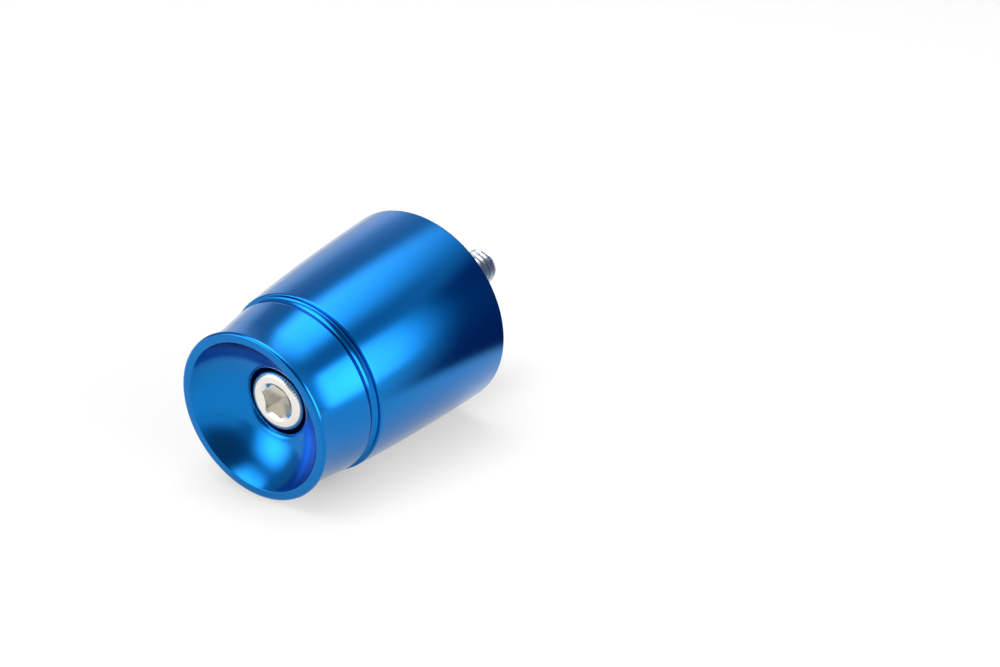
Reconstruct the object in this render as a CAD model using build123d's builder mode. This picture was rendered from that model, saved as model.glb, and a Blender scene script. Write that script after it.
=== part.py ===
from build123d import *
from math import radians, tan
import os

# Bar end weight for a motorbike: a turned aluminium weight with a dished outer end,
# clamped to the end of the handlebar by one socket head cap screw.
# Sizes are in millimetres. Y is the turning axis: the dish faces -Y, the screw points +Y
# into the bar, and the origin is the middle of the seat, the flat face that meets the bar.

os.makedirs("parts", exist_ok=True)

# Weight: overall form, from the rim face to the seat
body_length = 41.4
rim_diameter = 28.2
seat_diameter = 33.5

# Weight: collar, which is narrowest behind the rim's lip and flares to the groove
rim_lip_width = 0.62
lip_step = 0.58
lip_undercut = 0.1
waist_end_from_rim = 4.8
waist_end_diameter = 27.37
collar_end_diameter = 29.0
collar_length = 10.65
collar_hollow = 0.03

# Weight: round-bottomed groove, and the skirt that swells a little between groove and seat
groove_width = 1.75
groove_depth = 0.65
skirt_step = 0.5
skirt_bulge = 0.27

# Weight: dish in the outer end, down to the hole for the screw head
rim_land = 1.55
dish_depth = 5.65
dish_hollow = 0.9

# Weight: edges
rim_chamfer = 0.4
lip_chamfer = 0.05
dish_mouth_chamfer = 0.1
collar_end_chamfer = 0.3
skirt_front_chamfer = 0.25
seat_chamfer = 0.25
seat_hole_chamfer = 0.4
bore_lip_round = 1.0

# Screw: M6 socket head cap screw, with its shank rolled down inside the weight
thread_diameter = 6.0
shank_diameter = 5.35
screw_length = 46.9
thread_length = 17.0
thread_run_out = 0.3
tip_chamfer = 0.6
head_diameter = 10.0
head_height = 6.0
head_chamfer = 0.7
under_head_chamfer = 0.25
socket_across_flats = 5.1
socket_depth = 3.6
socket_mouth_diameter = 6.5
socket_mouth_angle = 30
socket_turn = 19

# Fits between the screw and the weight
head_gap = 0.5
shank_gap = 0.3
head_proud = 0.25

# Places along the axis
rim_y = -body_length
collar_end_y = rim_y + collar_length
skirt_front_y = collar_end_y + groove_width
dish_floor_y = rim_y + dish_depth
head_face_y = dish_floor_y - head_proud
head_seat_y = head_face_y + head_height
tip_y = head_seat_y + screw_length
thread_y = tip_y - thread_length

# Radii
rim_r = rim_diameter / 2
seat_r = seat_diameter / 2
collar_end_r = collar_end_diameter / 2
head_r = head_diameter / 2
thread_r = thread_diameter / 2
shank_r = shank_diameter / 2
head_bore_r = head_r + head_gap
screw_hole_r = thread_r + shank_gap

# Corners of the turned section, each as radius and place along the axis
dish_mouth = (rim_r - rim_land, rim_y)
rim_edge = (rim_r, rim_y)
lip_edge = (rim_r, rim_y + rim_lip_width)
lip_foot = (rim_r - lip_step, rim_y + rim_lip_width + lip_undercut)
waist_end = (waist_end_diameter / 2, rim_y + waist_end_from_rim)
collar_end = (collar_end_r, collar_end_y)
groove_floor = (collar_end_r - groove_depth, collar_end_y + groove_width / 2)
groove_end = (collar_end_r, skirt_front_y)
skirt_front = (collar_end_r + skirt_step, skirt_front_y)
seat_edge = (seat_r, 0)
seat_hole = (screw_hole_r, 0)
head_seat_inner = (screw_hole_r, head_seat_y)
head_seat_outer = (head_bore_r, head_seat_y)
bore_lip = (head_bore_r, dish_floor_y)

edge_chamfers = [
    (dish_mouth, dish_mouth_chamfer),
    (rim_edge, rim_chamfer),
    (lip_edge, lip_chamfer),
    (collar_end, collar_end_chamfer),
    (skirt_front, skirt_front_chamfer),
    (seat_edge, seat_chamfer),
    (seat_hole, seat_hole_chamfer),
]

# Weight: one section, turned about the axis
with BuildPart() as weight_body:
    with BuildSketch() as section:
        with BuildLine():
            Line(dish_mouth, rim_edge)
            Polyline(rim_edge, lip_edge, lip_foot)
            flare = SagittaArc(waist_end, collar_end, collar_hollow)
            TangentArc(waist_end, lip_foot, tangent=-(flare % 0))
            ThreePointArc(collar_end, groove_floor, groove_end)
            Line(groove_end, skirt_front)
            SagittaArc(skirt_front, seat_edge, -skirt_bulge)
            Polyline(seat_edge, seat_hole, head_seat_inner, head_seat_outer, bore_lip)
            SagittaArc(bore_lip, dish_mouth, dish_hollow)
        make_face()
        fillet(section.vertices().sort_by_distance(bore_lip)[0], radius=bore_lip_round)
        for corner, length in edge_chamfers:
            chamfer(section.vertices().sort_by_distance(corner)[0], length=length)
    revolve(axis=Axis.Y)

weight_body.part.label = "weight_body"
export_step(weight_body.part, "parts/weight_body.step")

# Screw: head, shank and threaded end turned as one blank
head_edge = (head_r, head_face_y)
under_head = (shank_r, head_seat_y)
tip_edge = (thread_r, tip_y)

# Screw: the cone at the socket's mouth
mouth_r = socket_mouth_diameter / 2
mouth_cone_y = head_face_y + mouth_r * tan(radians(socket_mouth_angle))

with BuildPart() as socket_screw:
    with BuildSketch() as half_blank:
        with BuildLine():
            Polyline(
                (0, head_face_y),
                head_edge,
                (head_r, head_seat_y),
                under_head,
                (shank_r, thread_y),
                (thread_r, thread_y + thread_run_out),
                tip_edge,
                (0, tip_y),
                close=True,
            )
        make_face()
        chamfer(half_blank.vertices().sort_by_distance(head_edge)[0], length=head_chamfer)
        chamfer(half_blank.vertices().sort_by_distance(under_head)[0], length=under_head_chamfer)
        chamfer(half_blank.vertices().sort_by_distance(tip_edge)[0], length=tip_chamfer)
    revolve(axis=Axis.Y)

    # hex socket for the key
    with BuildSketch(Plane(origin=(0, head_face_y, 0), x_dir=(1, 0, 0), z_dir=(0, 1, 0))):
        RegularPolygon(socket_across_flats / 2, 6, major_radius=False, rotation=socket_turn)
    extrude(amount=socket_depth, mode=Mode.SUBTRACT)

    # countersunk mouth of the socket
    with BuildSketch():
        with BuildLine():
            Polyline((0, head_face_y), (mouth_r, head_face_y), (0, mouth_cone_y), close=True)
        make_face()
    revolve(axis=Axis.Y, mode=Mode.SUBTRACT)

socket_screw.part.label = "socket_screw"
export_step(socket_screw.part, "parts/socket_screw.step")
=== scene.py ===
from math import atan2, ceil, cos, hypot, pi, radians, sin, tan

import bmesh
import bpy
from mathutils import Matrix, Quaternion, Vector


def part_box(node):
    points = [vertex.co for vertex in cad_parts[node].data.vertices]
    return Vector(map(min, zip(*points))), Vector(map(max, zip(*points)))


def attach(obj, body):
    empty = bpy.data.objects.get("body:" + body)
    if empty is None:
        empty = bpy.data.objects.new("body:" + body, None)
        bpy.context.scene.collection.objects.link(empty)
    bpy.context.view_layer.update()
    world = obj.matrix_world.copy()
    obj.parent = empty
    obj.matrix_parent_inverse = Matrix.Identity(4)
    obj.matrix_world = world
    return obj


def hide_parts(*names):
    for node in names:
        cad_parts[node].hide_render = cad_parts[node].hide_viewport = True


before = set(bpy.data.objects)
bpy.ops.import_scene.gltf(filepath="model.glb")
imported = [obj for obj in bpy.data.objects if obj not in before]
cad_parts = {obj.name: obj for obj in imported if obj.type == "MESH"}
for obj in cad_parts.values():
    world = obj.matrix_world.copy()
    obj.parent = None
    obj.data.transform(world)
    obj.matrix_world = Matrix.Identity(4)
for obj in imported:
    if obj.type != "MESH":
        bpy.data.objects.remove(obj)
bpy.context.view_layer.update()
bpy.context.scene.view_settings.view_transform = "Standard"
mm = 0.001
mergeDistance = 0.0005 * mm
print("loaded", ", ".join(sorted(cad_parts)))


# Points, rings and meshes

def lineBetween(start, end, spacing):
    steps = max(1, ceil(hypot(end[0] - start[0], end[1] - start[1]) / spacing))
    return [(start[0] + (end[0] - start[0]) * k / steps, start[1] + (end[1] - start[1]) * k / steps)
            for k in range(1, steps + 1)]


def arcBetween(start, end, bow, spacing):
    # bow is how far the arc stands off its chord, to the left of the way from start to end
    chord = Vector((end[0] - start[0], end[1] - start[1]))
    left = Vector((-chord.y, chord.x)).normalized()
    radius = (chord.length ** 2 / 4 + bow ** 2) / (2 * bow)
    centre = Vector(start) + chord / 2 + left * (bow - radius)
    first = Vector(start) - centre
    last = Vector(end) - centre
    turn = atan2(first.x * last.y - first.y * last.x, first.dot(last))
    steps = max(2, ceil(abs(turn * radius) / spacing))
    points = []
    for k in range(1, steps + 1):
        a = turn * k / steps
        points.append((centre.x + first.x * cos(a) - first.y * sin(a),
                       centre.y + first.x * sin(a) + first.y * cos(a)))
    return points


def walkFrom(points, index, step, reach):
    # the place that lies reach along a closed outline from one of its points, and the points passed
    here = Vector(points[index])
    passed = [index]
    while True:
        index = (index + step) % len(points)
        there = Vector(points[index])
        gap = (there - here).length
        if gap > reach:
            return here + (there - here) * reach / gap, passed
        reach -= gap
        here = there
        passed.append(index)


def softenCorner(points, corner, reach, steps):
    index = min(range(len(points)), key=lambda k: (Vector(points[k]) - Vector(corner)).length)
    before, dropBefore = walkFrom(points, index, -1, reach)
    after, dropAfter = walkFrom(points, index, 1, reach)
    tip = Vector(points[index])
    bend = []
    for k in range(steps + 1):
        t = k / steps
        bend.append(tuple(before * (1 - t) ** 2 + tip * 2 * t * (1 - t) + after * t ** 2))
    dropped = set(dropBefore) | set(dropAfter)
    first = dropBefore[-1]
    turned = [points[(first + k) % len(points)] for k in range(len(points))
              if (first + k) % len(points) not in dropped]
    return bend + turned


def ringAt(radius, y, columns):
    # radius and y may each be a number or a list with one value for each column
    ring = []
    for k in range(columns):
        angle = 2 * pi * k / columns
        r = radius[k] if isinstance(radius, list) else radius
        place = y[k] if isinstance(y, list) else y
        ring.append(Vector((r * cos(angle), place, r * sin(angle))) * mm)
    return ring


def meshFromRings(name, rings, closed):
    # U runs round each ring and V along the section, so that a finish can follow the tool's marks
    columns = len(rings[0])
    along = [0.0]
    for a, b in zip(rings, rings[1:]):
        along.append(along[-1] + (b[0] - a[0]).length / mm)
    along.append(along[-1] + (rings[0][0] - rings[-1][0]).length / mm)
    corners = [point for ring in rings for point in ring]
    faces = []
    turnUv = []
    count = len(rings)
    for i in range(count if closed else count - 1):
        below = (i + 1) % count
        for k in range(columns):
            right = (k + 1) % columns
            faces.append((i * columns + k, i * columns + right,
                          below * columns + right, below * columns + k))
            u0, u1 = k / columns, (k + 1) / columns
            turnUv += [(u0, along[i]), (u1, along[i]), (u1, along[i + 1]), (u0, along[i + 1])]
    mesh = bpy.data.meshes.new(name)
    mesh.from_pydata(corners, [], faces)
    layer = mesh.uv_layers.new(name="turned")
    for loop, place in zip(layer.data, turnUv):
        loop.uv = place
    return mesh


def showPiece(name, mesh, node, finish, sharpAngle):
    work = bmesh.new()
    work.from_mesh(mesh)
    bmesh.ops.remove_doubles(work, verts=work.verts, dist=mergeDistance)
    bmesh.ops.dissolve_degenerate(work, edges=work.edges, dist=mergeDistance)
    bmesh.ops.holes_fill(work, edges=work.edges, sides=0)
    bmesh.ops.recalc_face_normals(work, faces=work.faces)
    openEdges = sum(1 for edge in work.edges if not edge.is_manifold)
    work.to_mesh(mesh)
    work.free()
    mesh.shade_smooth()
    mesh.set_sharp_from_angle(angle=radians(sharpAngle))
    mesh.materials.append(finish)
    piece = bpy.data.objects.new(name, mesh)
    bpy.context.scene.collection.objects.link(piece)
    evenNormals = piece.modifiers.new("even normals", "WEIGHTED_NORMAL")
    evenNormals.keep_sharp = True
    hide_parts(node)
    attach(piece, "root")
    print(name, "has", len(mesh.polygons), "faces and", openEdges, "open edges")
    return piece


# Finishes

def newFinish(name):
    finish = bpy.data.materials.new(name)
    finish.use_nodes = True
    nodes = finish.node_tree.nodes
    links = finish.node_tree.links
    return finish, nodes, links, nodes["Principled BSDF"]


def makeMatt(shader, colour):
    shader.inputs["Base Color"].default_value = colour
    shader.inputs["Roughness"].default_value = 1.0
    shader.inputs["Specular IOR Level"].default_value = 0.0


anodised = {
    "colour": (0.0, 0.158, 0.48, 1.0),
    "roughness": 0.19,
    "roughnessSwing": 0.03,
    "clearLayer": 0.17,
    "clearRoughness": 0.13,
    "clearIor": 1.5,
    "markScale": 9.0,
    "markDetail": 4.0,
    "markDepth": 0.0004,
}


def makeAnodised():
    finish, nodes, links, shader = newFinish("blue anodised")
    shader.inputs["Metallic"].default_value = 1.0
    shader.inputs["Base Color"].default_value = anodised["colour"]
    shader.inputs["Coat Weight"].default_value = anodised["clearLayer"]
    shader.inputs["Coat Roughness"].default_value = anodised["clearRoughness"]
    shader.inputs["Coat IOR"].default_value = anodised["clearIor"]
    uv = nodes.new("ShaderNodeUVMap")
    uv.uv_map = "turned"
    split = nodes.new("ShaderNodeSeparateXYZ")
    links.new(uv.outputs["UV"], split.inputs["Vector"])
    # the tool's marks run round the part, so they change only along the section
    marks = nodes.new("ShaderNodeTexNoise")
    marks.noise_dimensions = "1D"
    marks.inputs["Scale"].default_value = anodised["markScale"]
    marks.inputs["Detail"].default_value = anodised["markDetail"]
    links.new(split.outputs["Y"], marks.inputs["W"])
    spread = nodes.new("ShaderNodeMapRange")
    spread.inputs["To Min"].default_value = anodised["roughness"] - anodised["roughnessSwing"]
    spread.inputs["To Max"].default_value = anodised["roughness"] + anodised["roughnessSwing"]
    links.new(marks.outputs["Fac"], spread.inputs["Value"])
    links.new(spread.outputs["Result"], shader.inputs["Roughness"])
    bump = nodes.new("ShaderNodeBump")
    bump.inputs["Strength"].default_value = 1.0
    bump.inputs["Distance"].default_value = anodised["markDepth"] * mm
    links.new(marks.outputs["Fac"], bump.inputs["Height"])
    links.new(bump.outputs["Normal"], shader.inputs["Normal"])
    return finish


steel = {
    "colour": (0.80, 0.77, 0.72, 1.0),
    "roughness": 0.16,
    "roughnessSwing": 0.06,
    "threadRougher": 0.12,
    "grainScale": 900.0,
    "grainDetail": 5.0,
    "grainDepth": 0.004,
}


def makeSteel():
    finish, nodes, links, shader = newFinish("bright steel")
    shader.inputs["Metallic"].default_value = 1.0
    shader.inputs["Base Color"].default_value = steel["colour"]
    place = nodes.new("ShaderNodeTexCoord")
    grain = nodes.new("ShaderNodeTexNoise")
    grain.inputs["Scale"].default_value = steel["grainScale"]
    grain.inputs["Detail"].default_value = steel["grainDetail"]
    links.new(place.outputs["Object"], grain.inputs["Vector"])
    spread = nodes.new("ShaderNodeMapRange")
    spread.inputs["To Min"].default_value = steel["roughness"] - steel["roughnessSwing"]
    spread.inputs["To Max"].default_value = steel["roughness"] + steel["roughnessSwing"]
    links.new(grain.outputs["Fac"], spread.inputs["Value"])
    # the rolled thread behind the seat is duller than the head
    split = nodes.new("ShaderNodeSeparateXYZ")
    links.new(place.outputs["Object"], split.inputs["Vector"])
    rolled = nodes.new("ShaderNodeMapRange")
    rolled.inputs["From Max"].default_value = mm
    rolled.inputs["To Max"].default_value = steel["threadRougher"]
    links.new(split.outputs["Y"], rolled.inputs["Value"])
    roughness = nodes.new("ShaderNodeMath")
    links.new(spread.outputs["Result"], roughness.inputs[0])
    links.new(rolled.outputs["Result"], roughness.inputs[1])
    links.new(roughness.outputs["Value"], shader.inputs["Roughness"])
    bump = nodes.new("ShaderNodeBump")
    bump.inputs["Distance"].default_value = steel["grainDepth"] * mm
    links.new(grain.outputs["Fac"], bump.inputs["Height"])
    links.new(bump.outputs["Normal"], shader.inputs["Normal"])
    return finish


anodisedFinish = makeAnodised()
steelFinish = makeSteel()
print("finishes ready")


# The turned weight, in millimetres along the axis from the seat at 0

weightLow = Vector(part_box("weight_body")[0]) / mm

weight = {
    "rimY": weightLow.y,
    "rimRadius": 14.1,
    "rimLand": 1.55,
    "lipWidth": 0.62,
    "lipStep": 0.58,
    "lipUndercut": 0.1,
    "waistEndRadius": 13.685,
    "waistEndFromRim": 4.8,
    "waistHollow": 0.074,
    "collarEndRadius": 14.5,
    "collarLength": 10.65,
    "collarHollow": 0.03,
    "grooveWidth": 1.75,
    "grooveDepth": 0.65,
    "skirtStep": 0.5,
    "skirtBulge": 0.27,
    "seatRadius": -weightLow.x,
    "screwHoleRadius": 3.3,
    "headHoleRadius": 5.5,
    "headSeatFromRim": 11.4,
    "dishDepth": 5.65,
    "dishHollow": 0.9,
    "edges": {"mouth": 0.1, "rim": 0.55, "lip": 0.05, "lipFoot": 0.15, "collarEnd": 0.35, "skirtFront": 0.3,
              "seat": 0.3, "seatHole": 0.4, "boreLip": 0.8},
    "edgeSteps": 8,
    "spacing": 0.5,
    "waistSpacing": 0.25,
    "grooveSpacing": 0.1,
    "insideSpacing": 2.0,
    "columns": 320,
    "sharpAngle": 40,
}


def weightSection():
    w = weight
    rimY = w["rimY"]
    collarEndY = rimY + w["collarLength"]
    skirtY = collarEndY + w["grooveWidth"]
    mouth = (w["rimRadius"] - w["rimLand"], rimY)
    rim = (w["rimRadius"], rimY)
    lip = (w["rimRadius"], rimY + w["lipWidth"])
    lipFoot = (w["rimRadius"] - w["lipStep"], rimY + w["lipWidth"] + w["lipUndercut"])
    waistEnd = (w["waistEndRadius"], rimY + w["waistEndFromRim"])
    collarEnd = (w["collarEndRadius"], collarEndY)
    grooveEnd = (w["collarEndRadius"], skirtY)
    skirtFront = (w["collarEndRadius"] + w["skirtStep"], skirtY)
    seat = (w["seatRadius"], 0.0)
    seatHole = (w["screwHoleRadius"], 0.0)
    stepInner = (w["screwHoleRadius"], rimY + w["headSeatFromRim"])
    stepOuter = (w["headHoleRadius"], rimY + w["headSeatFromRim"])
    boreLip = (w["headHoleRadius"], rimY + w["dishDepth"])
    gap = w["spacing"]
    outline = lineBetween(mouth, rim, gap)
    outline += lineBetween(rim, lip, gap)
    outline += lineBetween(lip, lipFoot, gap)
    outline += arcBetween(lipFoot, waistEnd, w["waistHollow"], w["waistSpacing"])
    outline += arcBetween(waistEnd, collarEnd, w["collarHollow"], gap)
    outline += arcBetween(collarEnd, grooveEnd, w["grooveDepth"], w["grooveSpacing"])
    outline += lineBetween(grooveEnd, skirtFront, gap)
    outline += arcBetween(skirtFront, seat, -w["skirtBulge"], gap)
    inside = (seat, seatHole, stepInner, stepOuter, boreLip)
    for start, end in zip(inside, inside[1:]):
        outline += lineBetween(start, end, w["insideSpacing"])
    outline += arcBetween(boreLip, mouth, w["dishHollow"], gap)
    corners = {"mouth": mouth, "rim": rim, "lip": lip, "lipFoot": lipFoot, "collarEnd": collarEnd,
               "skirtFront": skirtFront, "seat": seat, "seatHole": seatHole, "boreLip": boreLip}
    for name, reach in w["edges"].items():
        outline = softenCorner(outline, corners[name], reach, w["edgeSteps"])
    return outline


weightRings = [ringAt(r, y, weight["columns"]) for r, y in weightSection()]
weightMesh = meshFromRings("turned_weight", weightRings, closed=True)
turnedWeight = showPiece("turned_weight", weightMesh, "weight_body", anodisedFinish,
                         weight["sharpAngle"])
turnedWeight.visible_diffuse = False  # no blue bounce on the floor, so that its shadow stays grey


# The socket head cap screw

screwLow, screwHigh = (Vector(corner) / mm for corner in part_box("socket_screw"))

screw = {
    "headFaceY": screwLow.y,
    "tipY": screwHigh.y,
    "headRadius": 5.0,
    "headHeight": 6.0,
    "headRound": 1.0,
    "headRoundSteps": 8,
    "faceShares": (0.2, 0.6, 0.95),
    "knurlDepth": 0.12,
    "knurlShape": (0.0, 0.5, 1.0, 0.5),
    "knurlFrom": 1.0,
    "knurlTo": 5.6,
    "socketAcross": 5.1,
    "socketDepth": 3.6,
    "socketMouthRadius": 3.25,
    "socketConeAngle": 30,
    "socketCorner": 41,
    "wallShares": (0.0, 0.12, 0.5, 0.88, 1.0),
    "floorCentre": 0.04,
    "floorInset": 0.02,
    "floorDome": 0.15,
    "mouthRound": 0.05,
    "knurlRunOut": 0.15,
    "shankRadius": 2.675,
    "underHeadRound": 0.25,
    "underHeadSteps": 4,
    "threadRadius": 3.0,
    "threadDepth": 0.613,
    "threadPitch": 1.0,
    "crestTo": 0.125,
    "flankDown": 0.30,
    "rootFrom": 0.478,
    "rootMiddle": 0.56,
    "rootTo": 0.647,
    "flankUp": 0.82,
    "rootHollow": 0.02,
    "threadFromTip": 17.0,
    "tipRadius": 2.35,
    "columns": 240,
    "sharpAngle": 28,
}


def hexRadii(across, columns):
    # the screw's first column stands on a corner of the hex
    return [across / 2 / cos(radians((360 * k / columns) % 60 - 30)) for k in range(columns)]


def headRings():
    s = screw
    columns = s["columns"]
    top = s["headFaceY"]
    slope = tan(radians(s["socketConeAngle"]))
    flat = s["socketAcross"] / 2
    hexRing = hexRadii(s["socketAcross"], columns)
    floorY = top + s["socketDepth"]
    mouthY = [top + (s["socketMouthRadius"] - r) * slope for r in hexRing]
    inner = s["headRadius"] - s["headRound"]
    rings = [ringAt(s["floorCentre"], floorY - s["floorDome"], columns),
             ringAt(flat - s["floorInset"], floorY, columns)]
    for share in s["wallShares"]:
        rings.append(ringAt(hexRing, [floorY + (y - floorY) * share for y in mouthY], columns))
    rings += [ringAt(s["socketMouthRadius"] - s["mouthRound"], top + s["mouthRound"] * slope, columns),
              ringAt(s["socketMouthRadius"] + s["mouthRound"], top, columns)]
    for share in s["faceShares"]:
        rings.append(ringAt(s["socketMouthRadius"] + (inner - s["socketMouthRadius"]) * share, top, columns))
    # fine ridges round the head's side, a few columns to each, which run out up the rounded edge
    shape = s["knurlShape"]
    wave = [s["knurlDepth"] * shape[k % len(shape)] for k in range(columns)]
    for k in range(s["headRoundSteps"] + 1):
        a = pi / 2 * k / s["headRoundSteps"]
        edge = inner + s["headRound"] * sin(a)
        radii = [edge - depth * sin(a) ** 2 for depth in wave]
        rings.append(ringAt(radii, top + s["headRound"] * (1 - cos(a)), columns))
    ridge = [s["headRadius"] - depth for depth in wave]
    seatY = top + s["headHeight"]
    rootRadius = s["headRadius"] - s["knurlDepth"]
    rings += [ringAt(ridge, top + s["knurlFrom"] + s["knurlRunOut"], columns),
              ringAt(ridge, top + s["knurlTo"], columns),
              ringAt(rootRadius, top + s["knurlTo"] + s["knurlRunOut"], columns),
              ringAt(rootRadius - s["knurlRunOut"], seatY, columns)]
    rounding = s["underHeadRound"]
    for k in range(s["underHeadSteps"] + 1):
        a = pi / 2 * k / s["underHeadSteps"]
        radius = s["shankRadius"] + rounding * (1 - sin(a))
        rings.append(ringAt(radius, seatY + rounding * (1 - cos(a)), columns))
    return rings


def threadRings():
    # each row climbs one pitch as it goes round, so that crest and root run as a true helix
    s = screw
    columns = s["columns"]
    startY = s["tipY"] - s["threadFromTip"]
    pitch = s["threadPitch"]
    crest = s["threadRadius"]
    root = crest - s["threadDepth"]
    middle = (crest + root) / 2
    profile = [(0.0, crest), (s["crestTo"], crest), (s["flankDown"], middle), (s["rootFrom"], root),
               (s["rootMiddle"], root - s["rootHollow"]), (s["rootTo"], root), (s["flankUp"], middle)]
    rings = []
    turns = ceil(s["threadFromTip"] / pitch) + 2
    for turn in range(-1, turns):
        for part, radius in profile:
            ring = []
            for k in range(columns + 1):
                y = startY + pitch * (turn + part + k / columns)
                y = min(max(y, startY), s["tipY"])
                runOut = min((y - startY) / pitch, 1.0)
                r = s["shankRadius"] + (radius - s["shankRadius"]) * runOut
                r = min(r, s["tipRadius"] + (s["tipY"] - y))
                angle = 2 * pi * k / columns
                ring.append(Vector((r * cos(angle), y, r * sin(angle))) * mm)
            rings.append(ring)
    return rings


def threadMesh():
    rings = threadRings()
    columns = len(rings[0])
    corners = [point for ring in rings for point in ring]
    faces = []
    for i in range(len(rings) - 1):
        for k in range(columns - 1):
            here = i * columns + k
            above = here + columns
            faces.append((here, here + 1, above + 1, above))
    return corners, faces


def screwMesh():
    head = meshFromRings("cap_screw", headRings(), closed=False)
    corners, faces = threadMesh()
    shankEnd = ringAt(screw["shankRadius"], screw["tipY"] - screw["threadFromTip"], screw["columns"])
    work = bmesh.new()
    work.from_mesh(head)
    work.verts.ensure_lookup_table()
    columns = screw["columns"]
    lastRing = [work.verts[len(work.verts) - columns + k] for k in range(columns)]
    shank = [work.verts.new(point) for point in shankEnd]
    for k in range(columns):
        work.faces.new((lastRing[k], lastRing[(k + 1) % columns], shank[(k + 1) % columns], shank[k]))
    thread = [work.verts.new(point) for point in corners]
    for face in faces:
        work.faces.new([thread[k] for k in face])
    tip = [work.verts.new(point) for point in ringAt(screw["tipRadius"], screw["tipY"], columns)]
    work.faces.new(tip)
    work.to_mesh(head)
    work.free()
    head.transform(Matrix.Rotation(-radians(screw["socketCorner"]), 4, "Y"))
    return head


showPiece("cap_screw", screwMesh(), "socket_screw", steelFinish, screw["sharpAngle"])


# Floor, a hair under the rim's edge and the seat's edge

floor = {
    "colour": (0.96, 0.96, 0.96, 1.0),
    "size": 1.6,
    "gap": 0.02,
}


def makeFloor():
    rimBottom = Vector((0, weight["rimY"], -weight["rimRadius"] - floor["gap"])) * mm
    seatBottom = Vector((0, 0, -weight["seatRadius"] - floor["gap"])) * mm
    along = (seatBottom - rimBottom).normalized()
    across = Vector((1, 0, 0))
    half = floor["size"] / 2
    signs = ((-1, -1), (1, -1), (1, 1), (-1, 1))
    corners = [seatBottom + across * x * half + along * y * half for x, y in signs]
    mesh = bpy.data.meshes.new("studio_floor")
    mesh.from_pydata(corners, [], [(0, 1, 2, 3)])
    paper, nodes, links, shader = newFinish("white paper")
    makeMatt(shader, floor["colour"])
    mesh.materials.append(paper)
    sheet = bpy.data.objects.new("studio_floor", mesh)
    bpy.context.scene.collection.objects.link(sheet)


makeFloor()
print("floor laid")


# Softboxes and the dim room round them

lightTarget = Vector((0, -20, 0)) * mm
wattsPerLevel = 4  # for each square metre of a softbox

softboxes = {
    "over": {"azimuth": 0, "elevation": 90, "distance": 0.60, "aside": (-0.13, 0.045), "turn": 25,
             "width": 0.74, "height": 1.34, "level": 3.05, "softSides": 0.33, "softEnds": 0.45},
    "right": {"azimuth": 99.5, "elevation": 17, "distance": 0.60, "aside": (0, 0), "turn": 0,
              "width": 0.625, "height": 0.55, "level": 2.6, "softSides": 0.14, "softEnds": 0.20},
    "rightCore": {"azimuth": 102, "elevation": 15, "distance": 0.59, "aside": (0, 0), "turn": 0,
                  "width": 0.44, "height": 0.34, "level": 0.9, "softSides": 0.40, "softEnds": 0.40},
    "left": {"azimuth": -33, "elevation": 15, "distance": 0.60, "aside": (0, 0), "turn": 0,
             "width": 0.70, "height": 0.70, "level": 3.0, "softSides": 0.48, "softEnds": 0.46},
    "back": {"azimuth": 175, "elevation": 20, "distance": 0.90, "aside": (0, 0), "turn": 0,
             "width": 2.60, "height": 1.10, "level": 0.22, "softSides": 0.20, "softEnds": 0.30},
    "backLeft": {"azimuth": -140, "elevation": 4, "distance": 0.80, "aside": (0, 0), "turn": 0,
                 "width": 0.90, "height": 0.70, "level": 0.40, "softSides": 0.20, "softEnds": 0.30},
    "front": {"azimuth": 42, "elevation": 3, "distance": 0.90, "aside": (0, 0), "turn": 0,
              "width": 1.50, "height": 0.62, "level": 0.45, "softSides": 0.30, "softEnds": 0.50},
}
room = {
    "colour": (0.62, 0.83, 1.0, 1.0),
    "level": 0.52,
    "darkLevel": 0.20,
    "darkAzimuth": 38,
    "darkElevation": 52,
    "darkWithin": 14,
    "darkUpTo": 50,
}


def fromAngles(azimuth, elevation):
    a = radians(azimuth)
    e = radians(elevation)
    return Vector((sin(a) * cos(e), -cos(a) * cos(e), sin(e)))


def fadeAt(nodes, links, side, soft):
    # 0 at a softbox's edge, rising to 1 over its soft share
    fromEdge = nodes.new("ShaderNodeMath")
    fromEdge.operation = "PINGPONG"
    fromEdge.inputs[1].default_value = 0.5
    links.new(side, fromEdge.inputs[0])
    fade = nodes.new("ShaderNodeMapRange")
    fade.interpolation_type = "SMOOTHSTEP"
    fade.inputs["From Max"].default_value = soft
    links.new(fromEdge.outputs["Value"], fade.inputs["Value"])
    return fade.outputs["Result"]


def makeSoftbox(name, box):
    lamp = bpy.data.lights.new(name, "AREA")
    lamp.shape = "RECTANGLE"
    lamp.size = box["width"]
    lamp.size_y = box["height"]
    lamp.energy = box["level"] * box["width"] * box["height"] * wattsPerLevel
    lamp.use_nodes = True
    nodes = lamp.node_tree.nodes
    links = lamp.node_tree.links
    surface = nodes.new("ShaderNodeNewGeometry")
    sides = nodes.new("ShaderNodeSeparateXYZ")
    links.new(surface.outputs["Parametric"], sides.inputs["Vector"])
    level = nodes.new("ShaderNodeMath")
    level.operation = "MULTIPLY"
    links.new(fadeAt(nodes, links, sides.outputs["X"], box["softSides"]), level.inputs[0])
    links.new(fadeAt(nodes, links, sides.outputs["Y"], box["softEnds"]), level.inputs[1])
    links.new(level.outputs["Value"], nodes["Emission"].inputs["Strength"])
    holder = bpy.data.objects.new(name, lamp)
    outward = fromAngles(box["azimuth"], box["elevation"])
    turn = Quaternion(outward, -radians(box["turn"]))
    holder.location = lightTarget + outward * box["distance"] + Vector((*box["aside"], 0.0))
    holder.rotation_euler = (turn @ (-outward).to_track_quat("-Z", "Y")).to_euler()
    bpy.context.scene.collection.objects.link(holder)


for boxName, box in softboxes.items():
    makeSoftbox("softbox_" + boxName, box)


# Dark card beside the skirt, which only the reflections see: its navy is a painted dark reflection on the
# skirt's side

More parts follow.
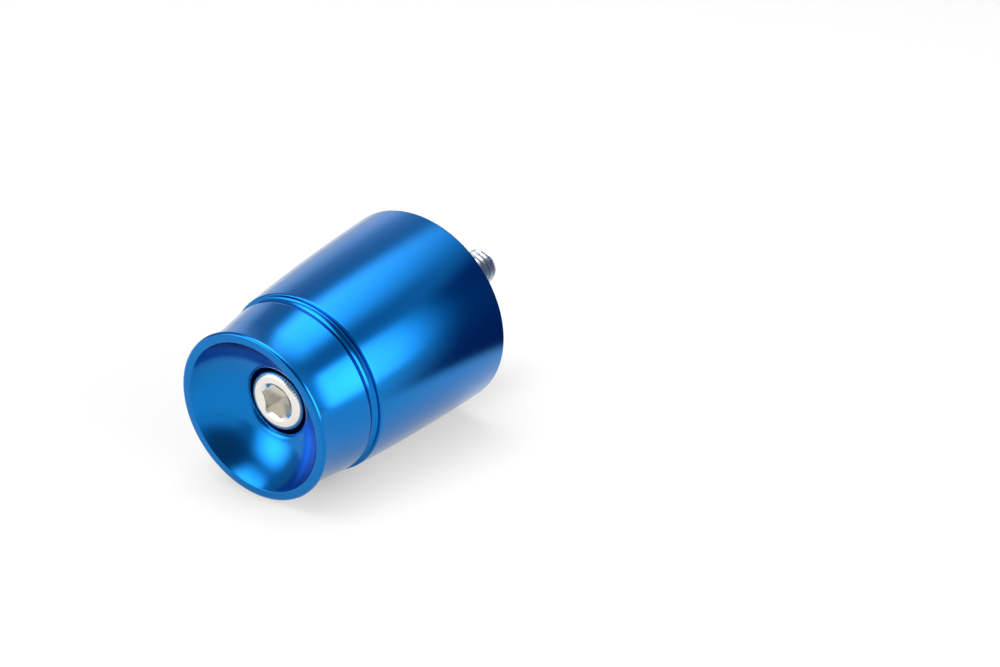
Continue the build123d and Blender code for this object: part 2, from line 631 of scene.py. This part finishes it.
card = {
    "colour": (0.02, 0.06, 0.18, 1.0),
    "azimuth": 133,
    "near": (16.0, -7.0),
    "distance": 18.0,
    "footLeft": -27.0,
    "topLeft": -9.0,
    "right": 34.0,
    "top": 34.0,
    "softLeft": 0.34,
    "softFoot": 0.15,
    "softTop": 0.25,
    "rows": 24,
}


def makeCard():
    ahead = fromAngles(card["azimuth"], 0)
    side = Vector((-ahead.y, ahead.x, 0))
    foot = Vector((card["near"][0], card["near"][1], 0)) + ahead * card["distance"]
    bottom = -weight["seatRadius"]
    rows = card["rows"]
    corners = []
    faces = []
    places = []
    for i in range(rows + 1):
        share = i / rows
        up = Vector((0, 0, bottom + (card["top"] - bottom) * share))
        left = card["footLeft"] + (card["topLeft"] - card["footLeft"]) * share
        corners += [(foot + side * left + up) * mm, (foot + side * card["right"] + up) * mm]
        if i < rows:
            faces.append((2 * i, 2 * i + 1, 2 * i + 3, 2 * i + 2))
            above = (i + 1) / rows
            places += [(0, share), (1, share), (1, above), (0, above)]
    mesh = bpy.data.meshes.new("dark_card")
    mesh.from_pydata(corners, [], faces)
    layer = mesh.uv_layers.new(name="card")
    for loop, place in zip(layer.data, places):
        loop.uv = place
    paper, nodes, links, shader = newFinish("dark card")
    makeMatt(shader, card["colour"])
    uv = nodes.new("ShaderNodeUVMap")
    uv.uv_map = "card"
    split = nodes.new("ShaderNodeSeparateXYZ")
    links.new(uv.outputs["UV"], split.inputs["Vector"])
    # the card thins out towards its left, lower and upper edges
    cover = None
    for axis, edge, inside in (("X", 0.0, card["softLeft"]), ("Y", 0.0, card["softFoot"]),
                               ("Y", 1.0, 1 - card["softTop"])):
        fade = nodes.new("ShaderNodeMapRange")
        fade.interpolation_type = "SMOOTHSTEP"
        fade.inputs["From Min"].default_value = edge
        fade.inputs["From Max"].default_value = inside
        links.new(split.outputs[axis], fade.inputs["Value"])
        if cover is None:
            cover = fade.outputs["Result"]
        else:
            both = nodes.new("ShaderNodeMath")
            both.operation = "MULTIPLY"
            links.new(cover, both.inputs[0])
            links.new(fade.outputs["Result"], both.inputs[1])
            cover = both.outputs["Value"]
    links.new(cover, shader.inputs["Alpha"])
    mesh.materials.append(paper)
    sheet = bpy.data.objects.new("dark_card", mesh)
    sheet.visible_camera = False
    sheet.visible_diffuse = False
    sheet.visible_shadow = False
    bpy.context.scene.collection.objects.link(sheet)


def makeRoom():
    # a dim room, darkest where the camera stands
    world = bpy.data.worlds.new("dim room")
    bpy.context.scene.world = world
    world.use_nodes = True
    nodes = world.node_tree.nodes
    links = world.node_tree.links
    place = nodes.new("ShaderNodeTexCoord")
    facing = nodes.new("ShaderNodeVectorMath")
    facing.operation = "DOT_PRODUCT"
    facing.inputs[1].default_value = fromAngles(room["darkAzimuth"], room["darkElevation"])
    links.new(place.outputs["Generated"], facing.inputs[0])
    level = nodes.new("ShaderNodeMapRange")
    level.interpolation_type = "SMOOTHSTEP"
    level.inputs["From Min"].default_value = cos(radians(room["darkUpTo"]))
    level.inputs["From Max"].default_value = cos(radians(room["darkWithin"]))
    level.inputs["To Min"].default_value = room["level"]
    level.inputs["To Max"].default_value = room["darkLevel"]
    links.new(facing.outputs["Value"], level.inputs["Value"])
    nodes["Background"].inputs["Color"].default_value = room["colour"]
    links.new(level.outputs["Result"], nodes["Background"].inputs["Strength"])
    # the camera sees white behind the floor's edge
    eye = nodes.new("ShaderNodeLightPath")
    white = nodes.new("ShaderNodeBackground")
    white.inputs["Color"].default_value = (1, 1, 1, 1)
    either = nodes.new("ShaderNodeMixShader")
    links.new(eye.outputs["Is Camera Ray"], either.inputs[0])
    links.new(nodes["Background"].outputs["Background"], either.inputs[1])
    links.new(white.outputs["Background"], either.inputs[2])
    links.new(either.outputs["Shader"], nodes["World Output"].inputs["Surface"])
    world.cycles_visibility.diffuse = False  # the softboxes alone light the paper, so its shadow has depth


makeCard()
makeRoom()
print("lights set")


# Camera

camera = {
    "azimuth": 37.93,
    "elevation": 29.23,
    "roll": -2.70,
    "place": (272.39, -329.14, 233.27),
    "lens": 109.22,
    "sensor": 36.0,
    "clipStart": 0.01,
}


def makeCamera():
    back = fromAngles(camera["azimuth"], camera["elevation"])
    level = Vector((0, 0, 1)).cross(back).normalized()
    upright = back.cross(level)
    roll = radians(camera["roll"])
    right = level * cos(roll) + upright * sin(roll)
    up = back.cross(right)
    lens = bpy.data.cameras.new("camera")
    lens.lens = camera["lens"]
    lens.sensor_width = camera["sensor"]
    lens.clip_start = camera["clipStart"]
    holder = bpy.data.objects.new("camera", lens)
    turned = Matrix((right, up, back)).transposed().to_4x4()
    holder.matrix_world = Matrix.Translation(Vector(camera["place"]) * mm) @ turned
    bpy.context.scene.collection.objects.link(holder)
    bpy.context.scene.camera = holder


makeCamera()
print("camera at", camera["azimuth"], "round and", camera["elevation"], "up")
